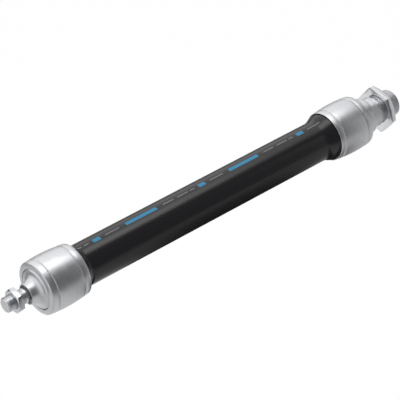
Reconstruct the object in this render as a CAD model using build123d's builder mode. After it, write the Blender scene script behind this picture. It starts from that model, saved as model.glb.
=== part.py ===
from build123d import *
import math
import os

# Pneumatic muscle: a rubber and aramid hose clamped between two turned aluminium ends.
# Sizes in millimetres. The long axis is X: the moving stud end lies at -X, the fixed
# port end at +X. The origin is on the axis, at the outer face of the fixed end's lock nut.

# Hose
free_length = 340.0  # visible hose between the two sleeve rims
hose_bore_radius = 20.0
liner_thickness = 0.80
fibre_thickness = 0.30  # one layer of parallel aramid yarn
interlayer_thickness = 0.20
cover_thickness = 0.57
layer_gap = 0.02  # bond line between two layers
flare_start = 16.0  # where the hose starts to widen, ahead of the rim
flare_end = 2.0  # where it has reached the clamp, behind the rim
flare_rise = 4.05
clamp_depth = 24.0  # how far the hose reaches into the sleeve
clamp_rise = 0.55  # growth in radius over the wedge, which locks the hose under pull
clamp_gap = 0.10  # between the hose and the metal on either side of it

# Radii of the hose layers, from the inside out
liner_radius = hose_bore_radius
fibre_inner_radius = liner_radius + liner_thickness + layer_gap
interlayer_radius = fibre_inner_radius + fibre_thickness + layer_gap
fibre_outer_radius = interlayer_radius + interlayer_thickness + layer_gap
cover_radius = fibre_outer_radius + fibre_thickness + layer_gap
hose_outer_radius = cover_radius + cover_thickness

# Thread between sleeve and lock ring
ring_thread_step = 0.75  # from the wedge's wide end up to the thread
ring_thread_radius = hose_outer_radius + flare_rise + clamp_rise + ring_thread_step
thread_gap = 0.04  # between two threads drawn at their pitch radius

# Sleeve, the long outer shell of each end
sleeve_tail = 15.6  # sleeve beyond the end of the hose
sleeve_length = clamp_depth + sleeve_tail
sleeve_thread_wall = 1.31  # metal outside the lock ring's thread
sleeve_end_radius = ring_thread_radius + thread_gap + sleeve_thread_wall
sleeve_swell = 0.5  # at the middle of the barrel
sleeve_barrel_radius = sleeve_end_radius + sleeve_swell
sleeve_band_drop = 0.6  # beside the fine groove
sleeve_band_radius = sleeve_end_radius - sleeve_band_drop
sleeve_rim_drop = 1.35
sleeve_rim_radius = sleeve_end_radius - sleeve_rim_drop
sleeve_mouth_wall = 0.8
sleeve_mouth_radius = sleeve_rim_radius - sleeve_mouth_wall
sleeve_lip_round = 0.35
sleeve_groove_place = 7.1
sleeve_groove_width = 1.1
sleeve_groove_depth = 0.50
sleeve_edge = 0.35
sleeve_rear_chamfer = 0.7  # with the ring's, it makes the V of the parting line

# Lock ring, screwed into the sleeve behind the flange
ring_thread_length = 8.2
ring_gap = 0.15  # parting line between sleeve and ring
ring_collar_drop = 0.05
ring_collar_radius = sleeve_end_radius - ring_collar_drop
ring_shoulder_drop = 0.6
ring_shoulder_radius = ring_collar_radius - ring_shoulder_drop
ring_collar_length = 6.3
ring_bevel_length = 0.9
ring_bevel_drop = 1.45
ring_bevel_radius = ring_collar_radius - ring_bevel_drop
ring_face_rise = 0.9  # the front face stands out a little towards the hub
ring_wall = 3.55  # from the flange's seat out to the thread
ring_lip_thickness = 3.7
ring_lip_gap = 0.35  # open groove between the lip and the flange's boss
ring_edge = 0.4
ring_collar_chamfer = 0.7

# Flange, the load-bearing core of each end
seat_gap = 0.05  # between turned pieces that locate each other
flange_radius = ring_thread_radius - ring_wall - seat_gap
flange_shoulder = 2.3  # ledge that the lock ring's lip bears on
flange_boss_radius = flange_radius - flange_shoulder
flange_boss_rise = 0.45  # the boss stands out of the lock ring
flange_boss_chamfer = 1.6
flange_boss_chamfer_length = 1.4
flange_face_rise = 0.6
flange_foot_radius = 17.0
spigot_radius = 12.0
spigot_length = 23.5
spigot_edge = 0.6

# Inner cone, pushed into the hose end
cone_bore_radius = 7.0
cone_nose_round = 1.0
cone_seat_clearance = 0.5  # behind the spigot's tip

# Disc springs, a pair in series
disc_inner_radius = 12.4
disc_outer_radius = 20.0
disc_thickness = 1.20
disc_cone_height = 0.56
disc_gap = 0.02

# O-ring, drawn at its squeezed section
o_ring_section_radius = 0.90
o_ring_gap = 0.02
o_ring_place = 5.6  # groove centre from the spigot's tip
o_ring_groove_width = 3.2

# Stud end
hub_length = 10.6  # from the foot of the hub's hollow flank to its rim
hub_waist_place = 0.35  # a point on the flank, as a share of its length and of its fall in radius
hub_waist_fall = 0.68
hub_top_radius = 11.1
hub_rim_round = 0.4
recess_radius = 10.1
recess_depth = 4.8
stud_radius = 8.0  # M16 x 1.5
stud_pitch_radius = 7.51
stud_screwed_length = 18.0
stud_neck_radius = 6.8  # relief between the flange and the shank
stud_neck_length = 1.7  # beyond the hub's rim
stud_shank_length = 14.5  # from the recess floor to the nut
stud_nut_thickness = 6.7
stud_free_length = 8.95  # beyond the nut
stud_chamfer = 1.0
stud_hole_floor = 0.6

# Port end
port_hub_radius = 20.5
port_hub_length = 10.4
port_hub_round = 2.6
port_neck_fillet = 2.0
port_neck_radius = 16.8
port_neck_length = 27.0  # from the flange's boss face to the shoulder
port_thread_radius = 15.0  # M30 x 1.5
port_pitch_radius = 14.51
port_nut_stand_off = 2.2  # bare thread between the shoulder and the nut
port_nut_thickness = 8.0
port_free_length = 15.5  # beyond the nut
port_thread_chamfer = 1.2
port_tap_radius = 7.5  # G3/8 air port, tapping size
port_tap_depth = 14.0
port_mouth_chamfer = 1.0
passage_radius = 5.5

# Lock nuts
stud_nut_flats = 24.0
port_nut_flats = 46.0
nut_gap = 0.10  # between a nut's faces and the steps of the thread beside them
nut_running_gap = 0.05  # between a nut's thread and the thread it turns on
nut_bore_chamfer = 0.6
nut_chamfer_share = 0.965  # chamfer circle against the width across flats
nut_chamfer_angle = 30.0
stud_nut_turn = 9.5  # how far each nut stands turned, from +Y
port_nut_turn = 5.0

# Stations along the axis, as distances outward from a sleeve's rim
ring_start = sleeve_length + ring_gap
ring_thread_end = ring_start - ring_thread_length
ring_shoulder = ring_start + ring_collar_length
ring_front = ring_shoulder + ring_bevel_length
ring_lip_front = ring_front + ring_face_rise
ring_lip_back = ring_lip_front - ring_lip_thickness
flange_front = ring_lip_back - seat_gap
flange_back = ring_thread_end + seat_gap
boss_front = ring_lip_front + flange_boss_rise
foot_front = boss_front + flange_face_rise
spigot_tip = flange_back - spigot_length
disc_height = disc_thickness + disc_cone_height
cone_back = flange_back - 2 * disc_height - 3 * disc_gap
hub_top = foot_front + hub_length
neck_front = hub_top + stud_neck_length
recess_floor = hub_top - recess_depth
stud_nut_back = recess_floor + stud_shank_length
stud_nut_front = stud_nut_back + stud_nut_thickness
stud_tip = stud_nut_front + stud_free_length
hub_end = boss_front + port_hub_length
port_shoulder = boss_front + port_neck_length
port_nut_back = port_shoulder + port_nut_stand_off
port_nut_front = port_nut_back + port_nut_thickness
port_tip = port_nut_front + port_free_length

# Radii that follow from the fits
ring_lip_radius = flange_boss_radius + ring_lip_gap
o_ring_groove_radius = spigot_radius + seat_gap - 2 * (o_ring_section_radius + o_ring_gap)

# An end is the place of its sleeve's rim on X and the direction that leads out of the muscle
port_end = (-port_nut_front, 1)
stud_end = (-port_nut_front - free_length, -1)


def on_axis(end, *stations):
    """Turn (distance outward from the rim, radius) pairs into points of the XZ plane."""
    rim, outward = end
    return [(rim + outward * distance, radius) for distance, radius in stations]


def clamp_radius(radius, distance):
    """Radius inside the sleeve of a surface that runs at radius in the free hose."""
    return radius + flare_rise + clamp_rise * (distance - flare_end) / (clamp_depth - flare_end)


def flare(end, radius):
    """Draw the S-shaped widening at one end of a surface of the hose."""
    start, middle, finish = on_axis(
        end,
        (-flare_start, radius),
        ((flare_end - flare_start) / 2, radius + flare_rise / 2),
        (flare_end, radius + flare_rise),
    )
    outward = end[1]
    TangentArc(start, middle, tangent=(outward, 0))
    TangentArc(finish, middle, tangent=(-outward, 0))


def hose_layer(radius, thickness):
    """One layer of the hose, clamped end to clamped end."""
    with BuildPart() as layer:
        with BuildSketch(Plane.XZ):
            with BuildLine():
                for surface in (radius, radius + thickness):
                    for end in (stud_end, port_end):
                        flare(end, surface)
                        Line(*on_axis(
                            end,
                            (flare_end, surface + flare_rise),
                            (clamp_depth, clamp_radius(surface, clamp_depth)),
                        ))
                    Line(
                        on_axis(stud_end, (-flare_start, surface))[0],
                        on_axis(port_end, (-flare_start, surface))[0],
                    )
                for end in (stud_end, port_end):
                    Line(*on_axis(
                        end,
                        (clamp_depth, clamp_radius(radius, clamp_depth)),
                        (clamp_depth, clamp_radius(radius + thickness, clamp_depth)),
                    ))
            make_face()
        revolve(axis=Axis.X)
    return layer


def sleeve(end):
    """Outer shell: wedge-shaped bore over the hose, thread for the lock ring, barrel outside."""
    wall = hose_outer_radius + clamp_gap
    bore_end = clamp_depth + sleeve_edge
    groove_near = sleeve_groove_place - sleeve_groove_width / 2
    groove_far = sleeve_groove_place + sleeve_groove_width / 2
    groove_radius = sleeve_band_radius - sleeve_groove_depth
    barrel_middle = (groove_far + sleeve_length) / 2
    with BuildPart() as shell:
        with BuildSketch(Plane.XZ):
            with BuildLine():
                Polyline(*on_axis(
                    end,
                    (sleeve_length - sleeve_rear_chamfer, sleeve_end_radius),
                    (sleeve_length, sleeve_end_radius - sleeve_rear_chamfer),
                    (sleeve_length, ring_thread_radius + thread_gap + sleeve_edge),
                    (sleeve_length - sleeve_edge, ring_thread_radius + thread_gap),
                    (bore_end + sleeve_edge, ring_thread_radius + thread_gap),
                    (bore_end, clamp_radius(wall, bore_end)),
                    (flare_end, clamp_radius(wall, flare_end)),
                    (sleeve_lip_round, sleeve_mouth_radius),
                    (0, sleeve_mouth_radius + sleeve_lip_round / 2),
                    (0, sleeve_rim_radius - sleeve_lip_round),
                    (sleeve_lip_round, sleeve_rim_radius),
                    (groove_near, sleeve_band_radius),
                    (groove_near, groove_radius),
                    (groove_far, groove_radius),
                    (groove_far, sleeve_band_radius),
                ))
                ThreePointArc(*on_axis(
                    end,
                    (groove_far, sleeve_band_radius),
                    (barrel_middle, sleeve_barrel_radius),
                    (sleeve_length - sleeve_rear_chamfer, sleeve_end_radius),
                ))
            make_face()
        revolve(axis=Axis.X)
    return shell


def lock_ring(end):
    """Threaded ring with the front lip that holds the flange in the sleeve."""
    inside = flange_radius + seat_gap
    with BuildPart() as ring:
        with BuildSketch(Plane.XZ):
            with BuildLine():
                Polyline(*on_axis(
                    end,
                    (ring_thread_end, inside),
                    (ring_thread_end, ring_thread_radius - ring_edge),
                    (ring_thread_end + ring_edge, ring_thread_radius),
                    (ring_start, ring_thread_radius),
                    (ring_start, ring_collar_radius - ring_collar_chamfer),
                    (ring_start + ring_collar_chamfer, ring_collar_radius),
                    (ring_shoulder, ring_shoulder_radius),
                    (ring_front, ring_bevel_radius),
                    (ring_lip_front, ring_lip_radius + ring_edge),
                    (ring_lip_front - ring_edge, ring_lip_radius),
                    (ring_lip_back, ring_lip_radius),
                    (ring_lip_back, inside),
                ), close=True)
            make_face()
        revolve(axis=Axis.X)
    return ring


def spigot_outline():
    """Outline of the flange's back, from the axis side of the spigot's tip to the boss's chamfer."""
    groove_near = spigot_tip + o_ring_place - o_ring_groove_width / 2
    groove_far = groove_near + o_ring_groove_width
    return [
        (spigot_tip, spigot_radius - spigot_edge),
        (spigot_tip + spigot_edge, spigot_radius),
        (groove_near, spigot_radius),
        (groove_near, o_ring_groove_radius),
        (groove_far, o_ring_groove_radius),
        (groove_far, spigot_radius),
        (flange_back, spigot_radius),
        (flange_back, flange_radius - spigot_edge),
        (flange_back + spigot_edge, flange_radius),
        (flange_front, flange_radius),
        (flange_front, flange_boss_radius),
        (boss_front - flange_boss_chamfer_length, flange_boss_radius),
    ]


def inner_cone(end):
    """Core that spreads the hose end against the sleeve's wedge."""
    skin = hose_bore_radius - clamp_gap
    seat = spigot_tip - cone_seat_clearance
    nose = -flare_start - cone_nose_round
    with BuildPart() as cone:
        with BuildSketch(Plane.XZ):
            with BuildLine():
                flare(end, skin)
                Polyline(*on_axis(
                    end,
                    (flare_end, skin + flare_rise),
                    (clamp_depth, clamp_radius(skin, clamp_depth)),
                    (cone_back, clamp_radius(skin, clamp_depth)),
                    (cone_back, spigot_radius + seat_gap),
                    (seat, spigot_radius + seat_gap),
                    (seat, cone_bore_radius),
                    (nose, cone_bore_radius),
                    (nose, skin - cone_nose_round),
                ))
                RadiusArc(
                    *on_axis(end, (nose, skin - cone_nose_round), (nose + cone_nose_round, skin)),
                    radius=end[1] * cone_nose_round,
                )
            make_face()
        revolve(axis=Axis.X)
    return cone


def disc_spring(end, order):
    """One dished washer; the pair stands rim to rim between the cone and the flange."""
    start = cone_back + disc_gap + order * (disc_height + disc_gap)
    inner_shift = order * disc_cone_height
    outer_shift = (1 - order) * disc_cone_height
    with BuildPart() as disc:
        with BuildSketch(Plane.XZ):
            with BuildLine():
                Polyline(*on_axis(
                    end,
                    (start + inner_shift, disc_inner_radius),
                    (start + inner_shift + disc_thickness, disc_inner_radius),
                    (start + outer_shift + disc_thickness, disc_outer_radius),
                    (start + outer_shift, disc_outer_radius),
                ), close=True)
            make_face()
        revolve(axis=Axis.X)
    return disc


def o_ring(end):
    """Seal between the flange's spigot and the inner cone."""
    centre = on_axis(
        end,
        (spigot_tip + o_ring_place, o_ring_groove_radius + o_ring_gap + o_ring_section_radius),
    )[0]
    with BuildPart() as seal:
        with BuildSketch(Plane.XZ):
            with Locations(centre):
                Circle(o_ring_section_radius)
        revolve(axis=Axis.X)
    return seal


def stud_flange():
    """Closed flange with the conical hub and the tapped seat of the stud."""
    tapped = stud_pitch_radius + thread_gap
    hole_floor = recess_floor - stud_screwed_length - stud_hole_floor
    with BuildPart() as flange:
        with BuildSketch(Plane.XZ):
            with BuildLine():
                Polyline(*on_axis(
                    stud_end,
                    (spigot_tip, 0),
                    *spigot_outline(),
                    (boss_front, flange_boss_radius - flange_boss_chamfer),
                    (foot_front, flange_foot_radius),
                ))
                ThreePointArc(*on_axis(
                    stud_end,
                    (foot_front, flange_foot_radius),
                    (foot_front + hub_waist_place * hub_length,
                     flange_foot_radius - hub_waist_fall * (flange_foot_radius - hub_top_radius)),
                    (hub_top - hub_rim_round, hub_top_radius),
                ))
                Polyline(*on_axis(
                    stud_end,
                    (hub_top - hub_rim_round, hub_top_radius),
                    (hub_top, hub_top_radius - hub_rim_round),
                    (hub_top, recess_radius + hub_rim_round),
                    (hub_top - hub_rim_round, recess_radius),
                    (recess_floor, recess_radius),
                    (recess_floor, tapped),
                    (hole_floor, tapped),
                    (hole_floor, 0),
                    (spigot_tip, 0),
                ))
            make_face()
        revolve(axis=Axis.X)
    return flange


def port_flange():
    """Flange with the hub, the hollow mounting thread and the air port through it."""
    hub_start = boss_front - flange_boss_chamfer_length + flange_boss_radius - port_hub_radius
    hub_round_turn = port_hub_round * math.sin(math.radians(45))
    neck_fillet_start = hub_end + port_hub_round
    passage_end = port_tip - port_tap_depth
    with BuildPart() as flange:
        with BuildSketch(Plane.XZ):
            with BuildLine():
                Polyline(*on_axis(
                    port_end,
                    (spigot_tip, passage_radius),
                    *spigot_outline(),
                    (hub_start, port_hub_radius),
                    (hub_end, port_hub_radius),
                ))
                ThreePointArc(*on_axis(
                    port_end,
                    (hub_end, port_hub_radius),
                    (hub_end + hub_round_turn, port_hub_radius - port_hub_round + hub_round_turn),
                    (neck_fillet_start, port_hub_radius - port_hub_round),
                ))
                ThreePointArc(*on_axis(
                    port_end,
                    (neck_fillet_start, port_hub_radius - port_hub_round),
                    (neck_fillet_start + 0.3 * port_neck_fillet,
                     0.3 * (port_hub_radius - port_hub_round) + 0.7 * port_neck_radius),
                    (neck_fillet_start + port_neck_fillet, port_neck_radius),
                ))
                Polyline(*on_axis(
                    port_end,
                    (neck_fillet_start + port_neck_fillet, port_neck_radius),
                    (port_shoulder, port_neck_radius),
                    (port_shoulder, port_pitch_radius),
                    (port_nut_front, port_pitch_radius),
                    (port_nut_front, port_thread_radius),
                    (port_tip - port_thread_chamfer, port_thread_radius),
                    (port_tip, port_thread_radius - port_thread_chamfer),
                    (port_tip, port_tap_radius + port_mouth_chamfer),
                    (port_tip - port_mouth_chamfer, port_tap_radius),
                    (passage_end, port_tap_radius),
                    (passage_end, passage_radius),
                    (spigot_tip, passage_radius),
                ))
            make_face()
        revolve(axis=Axis.X)
    return flange


def threaded_stud():
    """Stud screwed into the stud flange, with a plain shank and a free thread."""
    screwed_end = recess_floor - stud_screwed_length
    shank_start = recess_floor + seat_gap
    with BuildPart() as stud:
        with BuildSketch(Plane.XZ):
            with BuildLine():
                Polyline(*on_axis(
                    stud_end,
                    (screwed_end, 0),
                    (screwed_end, stud_pitch_radius - stud_chamfer),
                    (screwed_end + stud_chamfer, stud_pitch_radius),
                    (shank_start, stud_pitch_radius),
                    (shank_start, stud_neck_radius),
                    (neck_front, stud_neck_radius),
                    (neck_front + stud_radius - stud_neck_radius, stud_radius),
                    (stud_nut_back, stud_radius),
                    (stud_nut_back, stud_pitch_radius),
                    (stud_nut_front, stud_pitch_radius),
                    (stud_nut_front, stud_radius),
                    (stud_tip - stud_chamfer, stud_radius),
                    (stud_tip, stud_radius - stud_chamfer),
                    (stud_tip, 0),
                ), close=True)
            make_face()
        revolve(axis=Axis.X)
    return stud


def lock_nut(end, back, front, flats, pitch_radius, turn, double):
    """Thin hexagon nut, chamfered on its outer face, and behind too where it is double."""
    start = min(point[0] for point in on_axis(end, (back, 0), (front, 0)))
    corner = flats / 2 / math.cos(math.radians(30))
    chamfer_radius = nut_chamfer_share * flats / 2
    bore = pitch_radius + nut_running_gap
    blank = corner + nut_bore_chamfer
    chamfer_length = (blank - chamfer_radius) * math.tan(math.radians(nut_chamfer_angle))
    rear = [(back, chamfer_radius), (back + chamfer_length, blank)] if double else [(back, blank)]
    with BuildPart() as nut:
        with BuildSketch(Plane.YZ.offset(start)):
            RegularPolygon(corner, 6, rotation=turn)
        extrude(amount=front - back)
        with BuildSketch(Plane.XZ):
            with BuildLine():
                Polyline(*on_axis(
                    end,
                    (back, bore + nut_bore_chamfer),
                    *rear,
                    (front - chamfer_length, blank),
                    (front, chamfer_radius),
                    (front, bore + nut_bore_chamfer),
                    (front - nut_bore_chamfer, bore),
                    (back + nut_bore_chamfer, bore),
                ), close=True)
            make_face()
        revolve(axis=Axis.X, mode=Mode.INTERSECT)
    return nut


def write(name, piece):
    """Label a piece and write it under its name."""
    piece.part.label = name
    export_step(piece.part, f"parts/{name}.step")


os.makedirs("parts", exist_ok=True)

# Hose layers, from the inside out
write("hose_liner", hose_layer(liner_radius, liner_thickness))
write("hose_fibre_inner", hose_layer(fibre_inner_radius, fibre_thickness))
write("hose_interlayer", hose_layer(interlayer_radius, interlayer_thickness))
write("hose_fibre_outer", hose_layer(fibre_outer_radius, fibre_thickness))
write("hose_cover", hose_layer(cover_radius, cover_thickness))

# Pieces that both ends have
for side, end in (("port", port_end), ("stud", stud_end)):
    write(f"{side}_sleeve", sleeve(end))
    write(f"{side}_lock_ring", lock_ring(end))
    write(f"{side}_inner_cone", inner_cone(end))
    write(f"{side}_disc_spring_inner", disc_spring(end, 0))
    write(f"{side}_disc_spring_outer", disc_spring(end, 1))
    write(f"{side}_o_ring", o_ring(end))

# Pieces of one end only
write("port_flange", port_flange())
write("port_nut", lock_nut(
    port_end, port_nut_back, port_nut_front - nut_gap, port_nut_flats, port_pitch_radius,
    port_nut_turn, double=False,
))
write("stud_flange", stud_flange())
write("threaded_stud", threaded_stud())
write("stud_nut", lock_nut(
    stud_end, stud_nut_back + nut_gap, stud_nut_front - nut_gap, stud_nut_flats, stud_pitch_radius,
    stud_nut_turn, double=True,
))
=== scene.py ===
"""Visual model of a pneumatic muscle: a rubber hose clamped between two turned aluminium ends."""

import logging
import math
from dataclasses import dataclass, field
from enum import Enum

import bpy
from mathutils import Matrix, Vector

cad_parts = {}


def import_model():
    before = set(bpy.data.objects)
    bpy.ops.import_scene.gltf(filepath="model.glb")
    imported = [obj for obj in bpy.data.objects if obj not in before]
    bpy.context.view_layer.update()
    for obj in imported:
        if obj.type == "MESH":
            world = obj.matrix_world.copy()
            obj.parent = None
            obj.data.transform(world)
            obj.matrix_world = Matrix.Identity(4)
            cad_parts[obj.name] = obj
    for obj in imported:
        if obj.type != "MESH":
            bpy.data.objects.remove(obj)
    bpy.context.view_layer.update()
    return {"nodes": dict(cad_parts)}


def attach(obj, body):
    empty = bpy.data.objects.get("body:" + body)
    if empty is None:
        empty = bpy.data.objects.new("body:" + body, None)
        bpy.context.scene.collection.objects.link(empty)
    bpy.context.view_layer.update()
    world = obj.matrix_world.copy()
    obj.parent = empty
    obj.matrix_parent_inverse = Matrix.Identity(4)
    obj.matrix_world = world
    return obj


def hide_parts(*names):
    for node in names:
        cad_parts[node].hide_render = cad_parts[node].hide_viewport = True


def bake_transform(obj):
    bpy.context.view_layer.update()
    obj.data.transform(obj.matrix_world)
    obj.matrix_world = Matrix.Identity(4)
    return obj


log = logging.getLogger("pneumatic_muscle")

MM = 0.001
AXIS = (1.0, 0.0, 0.0)
WHITE = (1.0, 1.0, 1.0, 1.0)
Point = tuple[float, float]
Bar = tuple[float, float, float]


class End(Enum):
    """The two ends: place of the sleeve's rim on X in millimetres, and the way out of the muscle."""

    PORT = (-85.5, 1)
    STUD = (-425.5, -1)

    @property
    def side(self) -> str:
        """Name of the end as the CAD nodes carry it."""
        return self.name.lower()

    @property
    def body(self) -> str:
        """Body that the end's fixed pieces belong to."""
        return f"{self.side}_end"

    def at(self, distance: float) -> float:
        """Place on X, in millimetres, of a distance outward from the sleeve's rim."""
        rim, outward = self.value
        return rim + outward * distance

    def points(self, *stations: Point) -> list[Point]:
        """Turn (distance outward from the rim, radius) pairs into (x, radius) pairs."""
        return [(self.at(distance), radius) for distance, radius in stations]


class Layer(Enum):
    """The layers of the hose wall: inner radius and thickness in millimetres."""

    LINER = (20.0, 0.80)
    FIBRE_INNER = (20.82, 0.30)
    INTERLAYER = (21.14, 0.20)
    FIBRE_OUTER = (21.36, 0.30)
    COVER = (21.68, 0.57)

    @property
    def node(self) -> str:
        """CAD node that the layer stands for."""
        return f"hose_{self.name.lower()}"


# Colours and nodes


def linear(code: str) -> tuple[float, float, float, float]:
    """Turn an sRGB hex colour into linear values.

    Args:
        code: six hex digits.

    Returns:
        Red, green, blue and an alpha of 1.
    """
    channels = [int(code[i:i + 2], 16) / 255 for i in (0, 2, 4)]
    r, g, b = [c / 12.92 if c <= 0.04045 else ((c + 0.055) / 1.055) ** 2.4 for c in channels]
    return (r, g, b, 1.0)


def add_node(tree: bpy.types.NodeTree, kind: str, settings: dict, links: dict) -> bpy.types.Node:
    """Add a node with its settings and links.

    Args:
        tree: node tree that the node joins.
        kind: the node's type name.
        settings: properties by name, or input values by socket name or number.
        links: output sockets by the name or number of the input that each one feeds.

    Returns:
        The new node.
    """
    node = tree.nodes.new(kind)
    for name, value in settings.items():
        if isinstance(name, str) and name in node.bl_rna.properties:
            setattr(node, name, value)
        else:
            node.inputs[name].default_value = value
    for name, socket in links.items():
        tree.links.new(socket, node.inputs[name])
    return node


def new_material(name: str) -> tuple[bpy.types.Material, bpy.types.NodeTree, bpy.types.Node]:
    """Start a material that holds only its shader and its output.

    Args:
        name: the finish's name.

    Returns:
        The material, its node tree and its Principled shader.
    """
    material = bpy.data.materials.new(name)
    material.use_nodes = True
    tree = material.node_tree
    tree.nodes.clear()
    shader = add_node(tree, "ShaderNodeBsdfPrincipled", {}, {})
    add_node(tree, "ShaderNodeOutputMaterial", {}, {"Surface": shader.outputs["BSDF"]})
    return material, tree, shader


# Finishes


@dataclass(frozen=True)
class TurnedAluminium:
    """Aluminium turned on a lathe and clear anodised: pale satin metal with fine rings round the axis."""

    bright: str = "EDEEF0"
    dull: str = "CBCCCF"
    roughness: float = 0.42
    uneven: float = 0.1  # how far the roughness wanders to either side
    feed: float = 0.55  # millimetres between tool marks; the real feed of 0.1 is too fine to show
    wander: float = 0.012  # changes of a tool mark's depth per millimetre round the axis
    depth: float = 0.004
    streaks: Point = (0.42, 0.09)  # per millimetre, along the axis and round it

    def build(self) -> bpy.types.Material:
        """Build the material.

        Returns:
            The finished material.
        """
        material, tree, shader = new_material("turned_clear_anodised_aluminium")
        place = add_node(tree, "ShaderNodeTexCoord", {}, {}).outputs["Object"]
        # Rings: the noise is squeezed along the axis and drawn out round it
        fine, long = 1 / (self.feed * MM), self.wander / MM
        ring_place = add_node(tree, "ShaderNodeMapping", {"Scale": (fine, long, long)}, {"Vector": place})
        rings = add_node(
            tree, "ShaderNodeTexNoise", {"Scale": 1.0, "Detail": 2.0, "Roughness": 0.6},
            {"Vector": ring_place.outputs[0]},
        )
        # Streaks a few millimetres wide, drawn round the axis, where the tool cut brighter or duller
        fine, long = self.streaks[0] / MM, self.streaks[1] / MM
        streak_place = add_node(tree, "ShaderNodeMapping", {"Scale": (fine, long, long)}, {"Vector": place})
        streaks = add_node(
            tree, "ShaderNodeTexNoise", {"Scale": 1.0, "Detail": 4.0, "Roughness": 0.7},
            {"Vector": streak_place.outputs[0]},
        )
        base = add_node(
            tree, "ShaderNodeMix", {"data_type": "RGBA", 6: linear(self.dull), 7: linear(self.bright)},
            {0: streaks.outputs["Fac"]},
        )
        rough = add_node(
            tree, "ShaderNodeMapRange",
            {"To Min": self.roughness - self.uneven, "To Max": self.roughness + self.uneven},
            {"Value": streaks.outputs["Fac"]},
        )
        bump = add_node(
            tree, "ShaderNodeBump", {"Strength": 0.35, "Distance": self.depth * MM},
            {"Height": rings.outputs["Fac"]},
        )
        shader.inputs["Metallic"].default_value = 1.0
        tree.links.new(base.outputs[2], shader.inputs["Base Color"])
        tree.links.new(rough.outputs[0], shader.inputs["Roughness"])
        tree.links.new(bump.outputs[0], shader.inputs["Normal"])
        return material


@dataclass(frozen=True)
class ZincPlate:
    """Steel, turned or rolled and bright zinc plated: a cool mirror-like skin with faint cloudy patches."""

    bright: str = "E6E7E9"
    dull: str = "D6D8DB"
    roughness: float = 0.13
    uneven: Point = (-0.04, 0.1)  # how far the roughness wanders down and up
    patch: float = 4.0  # millimetres across a cloudy patch
    grains: float = 1.8  # bumps of the skin per millimetre

    def build(self) -> bpy.types.Material:
        """Build the material.

        Returns:
            The finished material.
        """
        material, tree, shader = new_material("bright_zinc_plated_steel")
        place = add_node(tree, "ShaderNodeTexCoord", {}, {}).outputs["Object"]
        patches = add_node(
            tree, "ShaderNodeTexNoise", {"Scale": 1 / (self.patch * MM), "Detail": 4.0}, {"Vector": place}
        )
        grain = add_node(
            tree, "ShaderNodeTexNoise", {"Scale": self.grains / MM, "Detail": 2.0}, {"Vector": place}
        )
        base = add_node(
            tree, "ShaderNodeMix", {"data_type": "RGBA", 6: linear(self.dull), 7: linear(self.bright)},
            {0: patches.outputs["Fac"]},
        )
        low, high = self.uneven
        rough = add_node(
            tree, "ShaderNodeMapRange", {"To Min": self.roughness + low, "To Max": self.roughness + high},
            {"Value": patches.outputs["Fac"]},
        )
        bump = add_node(
            tree, "ShaderNodeBump", {"Strength": 0.25, "Distance": 0.01 * MM},
            {"Height": grain.outputs["Fac"]},
        )
        shader.inputs["Metallic"].default_value = 1.0
        tree.links.new(base.outputs[2], shader.inputs["Base Color"])
        tree.links.new(rough.outputs[0], shader.inputs["Roughness"])
        tree.links.new(bump.outputs[0], shader.inputs["Normal"])
        return material


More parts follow.
